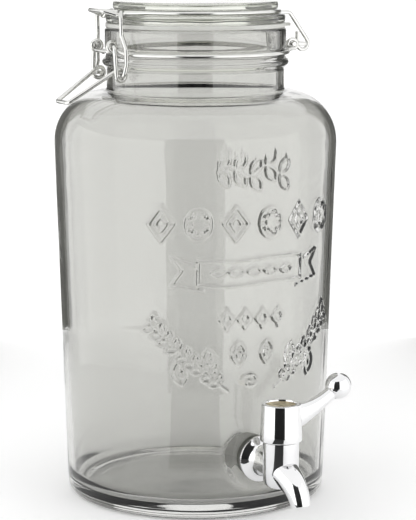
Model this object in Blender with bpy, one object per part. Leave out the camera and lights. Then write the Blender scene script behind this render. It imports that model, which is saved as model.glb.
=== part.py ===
"""Clip-top glass drinks dispenser: a glass jar with a hinged glass lid held down by
a wire toggle closure, and a turn tap through its wall.

Frame: +Z up, origin at the centre of the flat foot, tap towards -Y, toggle lever
towards -X, lid hinge towards +X. All sizes are in metres.
"""
import math

import bpy
import bmesh
from mathutils import Vector

# Glass jar
BODY_RADIUS = 0.102          # widest, where the side meets the shoulder
FOOT_RADIUS = 0.0943         # where the side meets the foot's rounding
FOOT_ROUNDING = 0.008
BODY_HEIGHT = 0.258          # height of the widest circle
SHOULDER_ROUNDING = 0.036
NECK_RADIUS = 0.0641
NECK_LENGTH = 0.018          # from the shoulder's top to the bead
BEAD_RISE = 0.0032           # how far the bead stands out from the neck
BEAD_LENGTH = 0.007
FINISH_LENGTH = 0.0173       # from the neck wire's centre to the rim
RIM_RISE = 0.0012
GLASS_WALL = 0.004
GLASS_FLOOR = 0.0095

# Wire closure
WIRE_RADIUS = 0.0015
GAP = 0.0003                 # between pieces that rest on each other
WIRE_GAP = 0.0005            # between a wire and the turned glass beside it
EYE_CLEARANCE = 0.0003       # between a wire and the eye round it
FRONT_EYE_REACH = 0.0078     # from the neck to the front eyes' axis
FRONT_EYE_RISE = 0.0055      # from the neck wire up to the front eyes' axis
FRONT_EYE_SIDE = 0.0126      # half the distance between the front eyes
REAR_EYE_REACH = 0.0106
REAR_EYE_RISE = 0.004
REAR_EYE_SIDE = 0.0095
HINGE_REACH = 0.0245         # from the neck to the hinge pin
STAPLE_SIDE = 0.0058
COIL_CLEARANCE = 0.0008      # between the bail's end and the lever's coil round it
COIL_APART = 0.0007          # between the front eye and the coil, along the pivots
COIL_DROP = 0.0196           # from the front eyes' axis down to the coils' axis
HANDLE_LENGTH = 0.0407
HANDLE_SIDE = 0.0095         # half the width of the handle's cross bar
HANDLE_LIFT = 0.0088         # from the shoulder up to the handle's centre line
BAIL_SIDE = 0.0201           # half the width of the bail at the lid
BAIL_APART = 0.0011          # between the coil and the bail's arm beside it
NOSE_REACH = 0.0098          # from the bail's shoulders out to its nose bar
NOSE_SIDE = 0.011
HOOK_CLEARANCE = 0.0014      # between the hinge pin and the lid wire's hook round it

# Lid and gasket
GASKET_THICKNESS = 0.003
FLANGE_THICKNESS = 0.0064
FLANGE_INSET = 0.0008        # how much smaller than the rim the flange is
TOP_DISC_THICKNESS = 0.0052
TOP_DISC_INSET = 0.0051
PLUG_DEPTH = 0.0055
PLUG_CLEARANCE = 0.0032
LID_DISH = 0.003

# Tap
TAP_HEIGHT = 0.044
TAP_REACH = 0.0325           # from the glass to the valve's axis
BOSS_RADIUS = 0.0225
BOSS_RISE = 0.00035           # above the wall at the washer's upper edge
PAD_RISE = 0.00086            # inside the wall at the washer's lower edge
SHANK_RADIUS = 0.0077
HOLE_CLEARANCE = 0.0005
PASSAGE_RADIUS = 0.0045
ROSE_RADIUS = 0.0165
ROSE_THICKNESS = 0.004
WASHER_THICKNESS = 0.002
SEAL_RADIUS = 0.0145
NUT_THICKNESS = 0.008
NUT_RADIUS = 0.014
BARREL_RADIUS = 0.01235
BARREL_TOP = 0.0193          # from the tap's axis up to the barrel's top
CHAMBER_RADIUS = 0.0082
CHAMBER_DEPTH = 0.0075       # below the tap's axis
SPOUT_REACH = 0.028
SPOUT_DROP = 0.0205          # from the tap's axis down to the spout's mouth
SPOUT_RADIUS = 0.0066
HANDLE_RADIUS_LOW = 0.0144
HANDLE_RADIUS_TOP = 0.0135
HANDLE_HEIGHT = 0.0258
KNOB_REACH = 0.045
KNOB_RADIUS = 0.0092
STEM_SIDE = 0.007            # the square stem that turns the plug
CAP_RADIUS = 0.0100
CAP_THICKNESS = 0.002

TURNS = 40                   # facets round a turned piece
ARC_STEP = 0.5               # largest turn between points of a bent wire, in radians

# Heights and radii that follow from the sizes above
EYE_RADIUS = 2 * WIRE_RADIUS + EYE_CLEARANCE
COIL_RADIUS = 2 * WIRE_RADIUS + COIL_CLEARANCE
HOOK_RADIUS = 2 * WIRE_RADIUS + HOOK_CLEARANCE
COIL_SIDE = FRONT_EYE_SIDE + 1.5 * EYE_RADIUS + COIL_APART
BAIL_BOW = COIL_SIDE + 1.5 * EYE_RADIUS + BAIL_APART
GROOVE_RADIUS = NECK_RADIUS + 0.0004
NECK_WIRE_RADIUS = GROOVE_RADIUS + WIRE_RADIUS + WIRE_GAP
NECK_BASE = BODY_HEIGHT + SHOULDER_ROUNDING
BEAD_LOW = NECK_BASE + NECK_LENGTH
BEAD_HIGH = BEAD_LOW + BEAD_LENGTH
NECK_WIRE_HEIGHT = BEAD_HIGH + WIRE_RADIUS + 2 * WIRE_GAP
RIM_RADIUS = NECK_RADIUS + RIM_RISE
RIM_HEIGHT = NECK_WIRE_HEIGHT + FINISH_LENGTH
MOUTH_RADIUS = NECK_RADIUS - GLASS_WALL
GASKET_TOP = RIM_HEIGHT + GAP + GASKET_THICKNESS
LID_BASE = GASKET_TOP + GAP
FLANGE_TOP = LID_BASE + FLANGE_THICKNESS
FLANGE_RADIUS = RIM_RADIUS - FLANGE_INSET
WAIST_HEIGHT = 2 * (WIRE_RADIUS + GAP)
TOP_DISC_RADIUS = FLANGE_RADIUS - TOP_DISC_INSET
LID_WIRE_HEIGHT = FLANGE_TOP + WAIST_HEIGHT / 2
LID_WIRE_RADIUS = TOP_DISC_RADIUS + 0.001
WAIST_RADIUS = LID_WIRE_RADIUS - WIRE_RADIUS - WIRE_GAP
LID_TOP = FLANGE_TOP + WAIST_HEIGHT + TOP_DISC_THICKNESS

FRONT_AXIS = (NECK_RADIUS + FRONT_EYE_REACH, NECK_WIRE_HEIGHT + FRONT_EYE_RISE)
COIL_AXIS = (math.sqrt((NECK_RADIUS + WIRE_RADIUS + 2 * WIRE_GAP) ** 2 - COIL_SIDE ** 2) + COIL_RADIUS,
             FRONT_AXIS[1] - COIL_DROP)
BAIL_TOP = (RIM_RADIUS + 0.0028, FLANGE_TOP + 0.0001)
REAR_AXIS = (NECK_RADIUS + REAR_EYE_REACH, NECK_WIRE_HEIGHT + REAR_EYE_RISE)
HINGE_AXIS = (NECK_RADIUS + HINGE_REACH, NECK_WIRE_HEIGHT + REAR_EYE_RISE - 0.0005)

SIDE_SLOPE = (BODY_RADIUS - FOOT_RADIUS) / (BODY_HEIGHT - FOOT_ROUNDING)
WALL_AT_SEAL_TOP = FOOT_RADIUS + SIDE_SLOPE * (TAP_HEIGHT + SEAL_RADIUS - FOOT_ROUNDING)
WALL_AT_SEAL_BASE = (FOOT_RADIUS - GLASS_WALL
                     + SIDE_SLOPE * (TAP_HEIGHT - SEAL_RADIUS - GLASS_FLOOR - FOOT_ROUNDING))
BOSS_FACE = WALL_AT_SEAL_TOP + BOSS_RISE
PAD_FACE = WALL_AT_SEAL_BASE - PAD_RISE
VALVE_Y = -BOSS_FACE - TAP_REACH
ROSE_BACK = BOSS_FACE + WASHER_THICKNESS + 2 * GAP
NUT_FRONT = PAD_FACE - WASHER_THICKNESS - 2 * GAP
SHANK_END = NUT_FRONT - NUT_THICKNESS - 0.003
BARREL_HEIGHT = TAP_HEIGHT + BARREL_TOP
HANDLE_BASE = BARREL_HEIGHT + GAP
HANDLE_TOP = HANDLE_BASE + HANDLE_HEIGHT
CHAMBER_FLOOR = TAP_HEIGHT - CHAMBER_DEPTH
PLUG_RADIUS = CHAMBER_RADIUS - GAP
CAP_TOP = HANDLE_TOP - 0.0008
SCREW_SEAT = CAP_TOP - CAP_THICKNESS - 0.0062


def material(name, color, roughness, metallic=0.0, alpha=1.0):
    """A Principled material with one colour."""
    result = bpy.data.materials.new(name)
    result.use_nodes = True
    shader = result.node_tree.nodes["Principled BSDF"]
    shader.inputs["Base Color"].default_value = (*color, 1.0)
    shader.inputs["Roughness"].default_value = roughness
    shader.inputs["Metallic"].default_value = metallic
    shader.inputs["Alpha"].default_value = alpha
    return result


def add_object(name, data, finish):
    """Puts a mesh or curve into the scene with its material."""
    item = bpy.data.objects.new(name, data)
    bpy.context.collection.objects.link(item)
    if finish is not None:
        data.materials.append(finish)
    return item


def set_origin(item, point):
    """Moves an item's origin to a point and leaves its shape where it is."""
    offset = Vector(point)
    if item.type == "MESH":
        for vertex in item.data.vertices:
            vertex.co -= offset
    else:
        for spline in item.data.splines:
            for knot in spline.points:
                knot.co = (*(knot.co.xyz - offset), 1.0)
    item.location = offset


def turned(name, profile, finish, center=(0, 0, 0), axis="Z", turns=TURNS):
    """Turns a closed outline of (radius, height) points about an axis through center.

    An outline point at radius 0 becomes one shared point on the axis.
    """
    work = bmesh.new()
    rings = []
    for radius, height in profile:
        if radius < 1e-7:
            rings.append([work.verts.new((0, 0, height))])
            continue
        angles = [2 * math.pi * k / turns for k in range(turns)]
        rings.append([work.verts.new((radius * math.cos(a), radius * math.sin(a), height))
                      for a in angles])
    for one, two in zip(rings, rings[1:] + rings[:1]):
        if len(one) == 1 and len(two) == 1:
            continue
        for k in range(turns):
            corners = [one[k % len(one)], one[(k + 1) % len(one)],
                       two[(k + 1) % len(two)], two[k % len(two)]]
            work.faces.new(list(dict.fromkeys(corners)))
    bmesh.ops.recalc_face_normals(work, faces=work.faces)
    mesh = bpy.data.meshes.new(name)
    work.to_mesh(mesh)
    work.free()
    for vertex in mesh.vertices:
        x, y, z = vertex.co
        if axis == "Y":
            vertex.co = (x, -z, y)
        vertex.co += Vector(center)
    mesh.shade_smooth()
    mesh.set_sharp_from_angle(angle=math.radians(35))
    return add_object(name, mesh, finish)


def lofted(name, sections, finish, sides=24):
    """Joins ellipses. Each section is (center, across, along, half_across, half_along)."""
    work = bmesh.new()
    rings = []
    for center, across, along, half_across, half_along in sections:
        ring = []
        for k in range(sides):
            angle = 2 * math.pi * k / sides
            point = (Vector(center) + Vector(across) * half_across * math.cos(angle)
                     + Vector(along) * half_along * math.sin(angle))
            ring.append(work.verts.new(point))
        rings.append(ring)
    for one, two in zip(rings, rings[1:]):
        for k in range(sides):
            nxt = (k + 1) % sides
            work.faces.new((one[k], one[nxt], two[nxt], two[k]))
    work.faces.new(rings[0])
    work.faces.new(rings[-1])
    bmesh.ops.recalc_face_normals(work, faces=work.faces)
    mesh = bpy.data.meshes.new(name)
    work.to_mesh(mesh)
    work.free()
    mesh.shade_smooth()
    mesh.set_sharp_from_angle(angle=math.radians(35))
    return add_object(name, mesh, finish)


def block(name, low, high):
    """A plain box between two corners, for cutting."""
    work = bmesh.new()
    bmesh.ops.create_cube(work, size=1.0)
    for vertex in work.verts:
        for k in range(3):
            vertex.co[k] = high[k] if vertex.co[k] > 0 else low[k]
    mesh = bpy.data.meshes.new(name)
    work.to_mesh(mesh)
    work.free()
    return add_object(name, mesh, None)


def combine(item, tool, operation):
    """Adds a helper solid to an item, or cuts it away, with an exact Boolean."""
    modifier = item.modifiers.new(operation.lower(), "BOOLEAN")
    modifier.operation = operation
    modifier.object = tool
    modifier.solver = "EXACT"
    tool.hide_render = True
    tool.display_type = "WIRE"
    tool.parent = item
    tool.matrix_parent_inverse = item.matrix_world.inverted()


def bent(corners, radius):
    """Rounds a wire's inner corners with arcs of the given bend radius."""
    corners = [Vector(corner) for corner in corners]
    points = [corners[0]]
    for before, corner, after in zip(corners, corners[1:], corners[2:]):
        into = (before - corner).normalized()
        out = (after - corner).normalized()
        turn = math.pi - into.angle(out)
        if turn < 0.12:
            points.append(corner)
            continue
        room = 0.48 * min((before - corner).length, (after - corner).length)
        setback = min(radius * math.tan(turn / 2), room)
        arc_radius = setback / math.tan(turn / 2)
        middle = corner + (into + out).normalized() * arc_radius / math.cos(turn / 2)
        first = corner + into * setback - middle
        steps = max(2, math.ceil(turn / ARC_STEP))
        for k in range(steps + 1):
            angle = turn * k / steps
            points.append(middle + first * math.cos(angle)
                          - into * arc_radius * math.sin(angle))
    points.append(corners[-1])
    return points


def coil(axis, side_start, side_end, radius, start, sweep, steps):
    """Points of a coil about a line along the side direction, in (out, side, height)."""
    points = []
    for k in range(steps + 1):
        share = k / steps
        angle = start + sweep * share
        points.append((axis[0] + radius * math.cos(angle),
                       side_start + (side_end - side_start) * share,
                       axis[1] + radius * math.sin(angle)))
    return points


def ring_arc(radius, height, start, end):
    """Points of a level arc in (out, side, height), on the turned pieces' facets."""
    facet = 2 * math.pi / TURNS
    first = math.ceil(start / facet - 1e-6)
    last = math.floor(end / facet + 1e-6)
    return [(radius * math.cos(k * facet), radius * math.sin(k * facet), height)
            for k in range(first, last + 1)]


def mirrored(points):
    """The same points on the other side, in reverse order."""
    return [(out, -side, height) for out, side, height in reversed(points)]


def front(points):
    """Places (out, side, height) points at the toggle's side of the jar."""
    return [Vector((-out, -side, height)) for out, side, height in points]


def wire(name, points, finish, closed=False):
    """A round wire along the given points."""
    curve = bpy.data.curves.new(name, "CURVE")
    curve.dimensions = "3D"
    curve.bevel_depth = WIRE_RADIUS
    curve.bevel_resolution = 2
    curve.use_fill_caps = not closed
    curve.twist_mode = "MINIMUM"
    spline = curve.splines.new("POLY")
    spline.points.add(len(points) - 1)
    for knot, point in zip(spline.points, points):
        knot.co = (*point, 1.0)
    spline.use_cyclic_u = closed
    return add_object(name, curve, finish)


def shoulder_arc(radius, offset, steps):
    """Outline points of the shoulder at an inward offset, from the side to the neck."""
    middle = BODY_RADIUS - SHOULDER_ROUNDING
    reach = SHOULDER_ROUNDING - offset
    last = math.acos(max(0.0, min(1.0, (radius - middle) / reach)))
    return [(middle + reach * math.cos(last * k / steps),
             BODY_HEIGHT + reach * math.sin(last * k / steps)) for k in range(steps + 1)]


def jar_outline():
    """The jar's closed outline: outside from the foot to the rim, then the inside."""
    foot = FOOT_RADIUS - FOOT_ROUNDING
    outside = [(0, 0), (foot, 0)]
    for k in range(1, 4):
        angle = math.pi / 2 * k / 3
        outside.append((foot + FOOT_ROUNDING * math.sin(angle),
                        FOOT_ROUNDING * (1 - math.cos(angle))))
    outside += shoulder_arc(NECK_RADIUS + 0.002, 0, 8)
    outside += [
        (NECK_RADIUS, NECK_BASE + 0.003), (NECK_RADIUS, BEAD_LOW - 0.001),
        (NECK_RADIUS + BEAD_RISE * 0.8, BEAD_LOW + 0.001),
        (NECK_RADIUS + BEAD_RISE, BEAD_LOW + BEAD_LENGTH / 2),
        (NECK_RADIUS + BEAD_RISE * 0.8, BEAD_HIGH - 0.001),
        (GROOVE_RADIUS, BEAD_HIGH),
        (GROOVE_RADIUS, NECK_WIRE_HEIGHT + WIRE_RADIUS + WIRE_GAP),
        (RIM_RADIUS, NECK_WIRE_HEIGHT + WIRE_RADIUS + 2 * WIRE_GAP),
        (RIM_RADIUS, RIM_HEIGHT - 0.0015), (RIM_RADIUS - 0.0015, RIM_HEIGHT),
    ]
    inside = [(MOUTH_RADIUS + 0.001, RIM_HEIGHT), (MOUTH_RADIUS, RIM_HEIGHT - 0.001),
              (MOUTH_RADIUS, NECK_BASE),
              (MOUTH_RADIUS + 0.35 * GLASS_WALL, NECK_BASE - 0.75 * GLASS_WALL)]
    inside += list(reversed(shoulder_arc(MOUTH_RADIUS, GLASS_WALL, 8)))
    hollow = FOOT_RADIUS - GLASS_WALL
    for k in range(4):
        angle = math.pi / 2 * (1 - k / 3)
        inside.append((hollow - FOOT_ROUNDING * (1 - math.sin(angle)),
                       GLASS_FLOOR + FOOT_ROUNDING * (1 - math.cos(angle))))
    inside.append((0, GLASS_FLOOR))
    return outside + inside


def make_jar(glass):
    """The jar, with a flat boss outside and a flat pad inside round the tap's hole."""
    jar = turned("jar_body", jar_outline(), glass)
    boss_root = BOSS_FACE - GLASS_WALL * 0.6
    boss = turned("boss_helper", [(0, boss_root - 0.0032), (BOSS_RADIUS, boss_root - 0.0032),
                                  (BOSS_RADIUS, BOSS_FACE - 0.001),
                                  (BOSS_RADIUS - 0.001, BOSS_FACE), (0, BOSS_FACE)],
                  None, (0, 0, TAP_HEIGHT), "Y", 30)
    pad_radius = SEAL_RADIUS + 0.001
    pad = turned("pad_helper", [(0, PAD_FACE), (pad_radius, PAD_FACE),
                                (pad_radius, boss_root - 0.001), (0, boss_root - 0.001)],
                 None, (0, 0, TAP_HEIGHT), "Y", 34)
    hole_radius = SHANK_RADIUS + HOLE_CLEARANCE
    hole = turned("hole_cutter", [(0, PAD_FACE - 0.02), (hole_radius, PAD_FACE - 0.02),
                                  (hole_radius, BOSS_FACE + 0.02), (0, BOSS_FACE + 0.02)],
                  None, (0, 0, TAP_HEIGHT), "Y", 26)
    combine(jar, boss, "UNION")
    combine(jar, pad, "UNION")
    combine(jar, hole, "DIFFERENCE")


def make_lid(glass):
    """The pressed glass lid: top disc, waist for the wire, flange and locating plug."""
    plug = MOUTH_RADIUS - PLUG_CLEARANCE
    soft = 0.0016
    profile = [
        (0, LID_BASE - PLUG_DEPTH + LID_DISH), (plug - 0.006, LID_BASE - PLUG_DEPTH + LID_DISH),
        (plug - 0.005, LID_BASE - PLUG_DEPTH), (plug - 0.0015, LID_BASE - PLUG_DEPTH),
        (plug, LID_BASE - 0.001), (plug, LID_BASE), (FLANGE_RADIUS - soft, LID_BASE),
        (FLANGE_RADIUS, LID_BASE + soft), (FLANGE_RADIUS, FLANGE_TOP - 1.6 * soft),
        (FLANGE_RADIUS - 0.5 * soft, FLANGE_TOP - 0.6 * soft),
        (FLANGE_RADIUS - 1.6 * soft, FLANGE_TOP), (WAIST_RADIUS, FLANGE_TOP),
        (WAIST_RADIUS, FLANGE_TOP + WAIST_HEIGHT),
        (TOP_DISC_RADIUS - soft, FLANGE_TOP + WAIST_HEIGHT),
        (TOP_DISC_RADIUS, FLANGE_TOP + WAIST_HEIGHT + soft),
        (TOP_DISC_RADIUS, LID_TOP - soft), (TOP_DISC_RADIUS - soft, LID_TOP), (0, LID_TOP),
    ]
    return turned("lid_glass", profile, glass)


def make_gasket(silicone):
    """The flat sealing ring between rim and lid, with its pull tab."""
    inner = MOUTH_RADIUS + 0.0008
    outer = RIM_RADIUS - 0.0006
    low = RIM_HEIGHT + GAP
    gasket = turned("lid_gasket", [(inner, low), (outer, low), (outer, GASKET_TOP),
                                   (inner, GASKET_TOP)], silicone)
    tab_angle = math.radians(-20)
    reach = outer + 0.004
    tab = block("tab_helper", (outer - 0.003, -0.004, low + 0.0003),
                (reach, 0.004, GASKET_TOP - 0.0003))
    for vertex in tab.data.vertices:
        x, y, z = vertex.co
        vertex.co = (x * math.cos(tab_angle) - y * math.sin(tab_angle),
                     x * math.sin(tab_angle) + y * math.cos(tab_angle), z)
    combine(gasket, tab, "UNION")
    return gasket


def eye_run(axis, side, ring_side, bar_out):
    """The neck wire from its groove through one eye to the middle of the bar beyond."""
    low = axis[1] - EYE_RADIUS
    half = EYE_RADIUS / 2
    ring_out = math.sqrt(NECK_WIRE_RADIUS ** 2 - ring_side ** 2)
    loop = coil(axis, side + half, side - half, EYE_RADIUS, -math.pi / 2, 2 * math.pi, 12)
    lead = [(ring_out, ring_side, NECK_WIRE_HEIGHT),
            (axis[0] - 0.0028, side + half + 0.0012, low), loop[0]]
    tail = [loop[-1], (bar_out, side - half - 0.0006, low), (bar_out, 0, low)]
    return bent(lead, 0.002)[:-1] + [Vector(p) for p in loop] + bent(tail, 0.0015)[1:]


def make_neck_wire(steel):
    """One closed wire in the neck's groove, with two eyes for the lever and two for the hinge."""
    front_side = 0.0205
    rear_side = 0.0165
    front_run = eye_run(FRONT_AXIS, FRONT_EYE_SIDE, front_side, FRONT_AXIS[0] + 0.0016)
    rear_run = eye_run(REAR_AXIS, REAR_EYE_SIDE, rear_side, REAR_AXIS[0] + 0.0016)
    start = math.asin(front_side / NECK_WIRE_RADIUS) + 0.05
    end = math.pi - math.asin(rear_side / NECK_WIRE_RADIUS) - 0.05
    half_ring = [Vector(p) for p in ring_arc(NECK_WIRE_RADIUS, NECK_WIRE_HEIGHT, start, end)]
    rear_run = [Vector((-out, side, height)) for out, side, height in rear_run]
    near = list(reversed(front_run)) + half_ring + rear_run
    far = [Vector(p) for p in mirrored(near)]
    return wire("neck_wire", front(near + far[1:-1]), steel, closed=True)


def make_staple(steel):
    """The U-shaped hinge staple: two rods and the pin that the lid wire hooks round."""
    end = REAR_EYE_SIDE + EYE_RADIUS
    corners = [(-REAR_AXIS[0], end, REAR_AXIS[1]), (-REAR_AXIS[0], STAPLE_SIDE, REAR_AXIS[1]),
               (-HINGE_AXIS[0], STAPLE_SIDE, HINGE_AXIS[1])]
    corners += mirrored(corners)
    return wire("hinge_staple", front(bent(corners, 0.0018)), steel)


def make_lever(steel):
    """The toggle lever: a handle loop, two coils and two ends that pivot in the front eyes."""
    half = EYE_RADIUS / 2
    outer = COIL_SIDE + half
    inner = COIL_SIDE - half
    middle = BODY_RADIUS - SHOULDER_ROUNDING
    away = (COIL_AXIS[0] - middle, COIL_AXIS[1] - BODY_HEIGHT)
    line = SHOULDER_ROUNDING + HANDLE_LIFT
    droop = math.atan2(away[1], away[0]) - math.pi + math.asin(line / math.hypot(*away))
    pin_side = FRONT_EYE_SIDE + half + 2 * WIRE_RADIUS + GAP
    ends = bent([(FRONT_AXIS[0], FRONT_EYE_SIDE - 0.004, FRONT_AXIS[1]),
                 (FRONT_AXIS[0], pin_side, FRONT_AXIS[1]),
                 (COIL_AXIS[0] + COIL_RADIUS, outer, COIL_AXIS[1])], 0.0018)
    turns = coil(COIL_AXIS, outer, inner, COIL_RADIUS, 0, droop - 1.5 * math.pi, 14)
    tip = (COIL_AXIS[0] + HANDLE_LENGTH * math.cos(droop),
           COIL_AXIS[1] + HANDLE_LENGTH * math.sin(droop))
    handle = bent([turns[-1], (tip[0], HANDLE_SIDE, tip[1]), (tip[0], 0, tip[1])], 0.0025)
    near = ends[:-1] + [Vector(p) for p in turns] + handle[1:]
    far = [Vector(p) for p in mirrored(near)]
    lever = wire("closing_lever", front(near + far[1:]), steel)
    set_origin(lever, (-FRONT_AXIS[0], 0, FRONT_AXIS[1]))
    return lever


def make_bail(steel):
    """The bail: a nose bar, two arms bowed round the eyes, and two ends in the coils."""
    clear = 2 * WIRE_RADIUS + GAP + 0.0004
    bow = math.sqrt((NECK_WIRE_RADIUS + clear) ** 2 - BAIL_BOW ** 2)
    top, height = BAIL_TOP
    nose_height = height + 0.0031
    corners = [
        (COIL_AXIS[0], COIL_SIDE - 0.0045, COIL_AXIS[1]), (COIL_AXIS[0], BAIL_BOW, COIL_AXIS[1]),
        (bow, BAIL_BOW, COIL_AXIS[1] + 0.008), (bow + 0.0004, BAIL_BOW, NECK_WIRE_HEIGHT + 0.004),
        (top - 0.0004, BAIL_SIDE, NECK_WIRE_HEIGHT + 0.0135), (top, BAIL_SIDE, height),
        (top, NOSE_SIDE + 0.0035, height), (top + NOSE_REACH, NOSE_SIDE, nose_height),
        (top + NOSE_REACH, 0, nose_height),
    ]
    near = bent(corners, 0.0018)
    far = [Vector(p) for p in mirrored(near)]
    bail = wire("latch_bail", front(near + far[1:]), steel)
    set_origin(bail, (-COIL_AXIS[0], 0, COIL_AXIS[1]))
    return bail


def make_lid_wire(steel):
    """One wire round the lid's waist, with two ears under the bail and a hook at the hinge."""
    contact = 2 * WIRE_RADIUS + GAP + 0.0001
    lean = math.radians(27)
    ear = (BAIL_TOP[0] - contact * math.cos(lean), BAIL_TOP[1] - contact * math.sin(lean))
    ear_out = ear[0] - 0.0006
    bend = 0.0012
    front_ear = bent([
        (math.sqrt(LID_WIRE_RADIUS ** 2 - 0.0265 ** 2), 0.0265, LID_WIRE_HEIGHT),
        (ear_out, 0.0193, LID_WIRE_HEIGHT), (ear[0], 0.0178, ear[1]),
        (ear[0], 0.0140, ear[1]), (ear_out, 0.0125, LID_WIRE_HEIGHT),
        (math.sqrt(LID_WIRE_RADIUS ** 2 - 0.004 ** 2), 0.004, LID_WIRE_HEIGHT)], bend)
    start = math.asin(0.0265 / LID_WIRE_RADIUS) + 0.05
    gap_side = 2.4 * WIRE_RADIUS
    side_arc = [Vector(p) for p in ring_arc(LID_WIRE_RADIUS, LID_WIRE_HEIGHT, start,
                                            math.pi - 0.09)]
    hook = coil(HINGE_AXIS, 0, 0, HOOK_RADIUS, math.pi, math.pi, 8)
    over = FLANGE_RADIUS + WIRE_RADIUS + GAP
    rise = HINGE_AXIS[1] + 0.009
    arm = bent([(LID_WIRE_RADIUS, -gap_side, LID_WIRE_HEIGHT),
                (LID_WIRE_RADIUS + 0.0015, 0, LID_WIRE_HEIGHT),
                (over + 0.0022, 0, FLANGE_TOP - 0.0004),
                (HINGE_AXIS[0] - 0.0111, 0, FLANGE_TOP - 0.0007),
                (HINGE_AXIS[0] + HOOK_RADIUS, 0, HINGE_AXIS[1] + 0.002), hook[-1]], 0.0035)
    stub = [Vector((HINGE_AXIS[0] - HOOK_RADIUS, 0, rise))]
    tail = stub + [Vector(p) for p in hook[:-1]] + list(reversed(arm))
    tail = [Vector((-out, side, height)) for out, side, height in tail]
    far_arc = [Vector(p) for p in mirrored(side_arc)]
    far_ear = [Vector((out, -side, height)) for out, side, height in front_ear]
    points = tail + far_arc + far_ear + list(reversed(front_ear)) + side_arc
    return wire("lid_wire", front(points), steel)


def spout_section(share, radius):
    """A round section of the spout, whose centre line is a parabola out of the valve."""
    start = (0.0, TAP_HEIGHT - 0.001)
    bend = (SPOUT_REACH * 0.82, TAP_HEIGHT - 0.0055)
    end = (SPOUT_REACH, TAP_HEIGHT - SPOUT_DROP)
    rest = 1 - share
    out = [rest * rest * a + 2 * rest * share * b + share * share * c
           for a, b, c in zip(start, bend, end)]
    run = [rest * (b - a) + share * (c - b) for a, b, c in zip(start, bend, end)]
    length = math.hypot(*run)
    return ((0, VALVE_Y - out[0], out[1]), (1, 0, 0),
            (0, run[1] / length, run[0] / length), radius, radius)


def make_tap_body(chrome):
    """The tap's body: shank, rose, neck, barrel and curved spout, bored for the water."""
    body = turned("tap_body", [
        (0, SHANK_END), (SHANK_RADIUS - 0.0008, SHANK_END), (SHANK_RADIUS, SHANK_END + 0.001),
        (SHANK_RADIUS, ROSE_BACK), (ROSE_RADIUS, ROSE_BACK),
        (ROSE_RADIUS, ROSE_BACK + ROSE_THICKNESS * 0.6),
        (ROSE_RADIUS - 0.002, ROSE_BACK + ROSE_THICKNESS),
        (0.0118, ROSE_BACK + ROSE_THICKNESS + 0.001),
        (0.0098, ROSE_BACK + ROSE_THICKNESS + 0.006), (0.0092, -VALVE_Y), (0, -VALVE_Y)],
        chrome, (0, 0, TAP_HEIGHT), "Y", 32)
    barrel = turned("barrel_helper", [
        (0, CHAMBER_FLOOR - 0.0065), (0.006, CHAMBER_FLOOR - 0.006),
        (0.0102, CHAMBER_FLOOR - 0.003), (BARREL_RADIUS, TAP_HEIGHT - 0.003),
        (BARREL_RADIUS, BARREL_HEIGHT), (0, BARREL_HEIGHT)], None, (0, VALVE_Y, 0), "Z", 32)
    spout = lofted("spout_helper", [
        spout_section(k / 8, BARREL_RADIUS - 0.0012 + (SPOUT_RADIUS - BARREL_RADIUS + 0.0012)
                      * (k / 8) ** 0.8) for k in range(9)], None, 24)
    chamber = turned("chamber_cutter", [
        (0, CHAMBER_FLOOR), (CHAMBER_RADIUS, CHAMBER_FLOOR),
        (CHAMBER_RADIUS, BARREL_HEIGHT + 0.01), (0, BARREL_HEIGHT + 0.01)],
        None, (0, VALVE_Y, 0), "Z", 32)
    inlet = turned("inlet_cutter", [
        (0, SHANK_END - 0.01), (PASSAGE_RADIUS, SHANK_END - 0.01),
        (PASSAGE_RADIUS, -VALVE_Y), (0, -VALVE_Y)], None, (0, 0, TAP_HEIGHT), "Y", 16)
    outlet = lofted("outlet_cutter", [
        spout_section(0.3 + 0.9 * k / 6, PASSAGE_RADIUS - 0.0006) for k in range(7)], None, 16)
    for helper in (barrel, spout):
        combine(body, helper, "UNION")
    for cutter in (inlet, outlet, chamber):
        combine(body, cutter, "DIFFERENCE")
    return body


def make_washer(name, back, finish):
    """A flat ring round the shank, starting at a distance from the jar's axis."""
    inner = SHANK_RADIUS + GAP
    return turned(name, [(inner, back), (SEAL_RADIUS, back),
                         (SEAL_RADIUS, back + WASHER_THICKNESS),
                         (inner, back + WASHER_THICKNESS)],
                  finish, (0, 0, TAP_HEIGHT), "Y", 32)


def make_nut(plastic):
    """The six-sided nut that clamps the tap from inside the jar."""
    inner = SHANK_RADIUS + GAP
    return turned("back_nut", [(inner, NUT_FRONT - NUT_THICKNESS),
                               (NUT_RADIUS, NUT_FRONT - NUT_THICKNESS),
                               (NUT_RADIUS, NUT_FRONT), (inner, NUT_FRONT)],
                  plastic, (0, 0, TAP_HEIGHT), "Y", 12)


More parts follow.
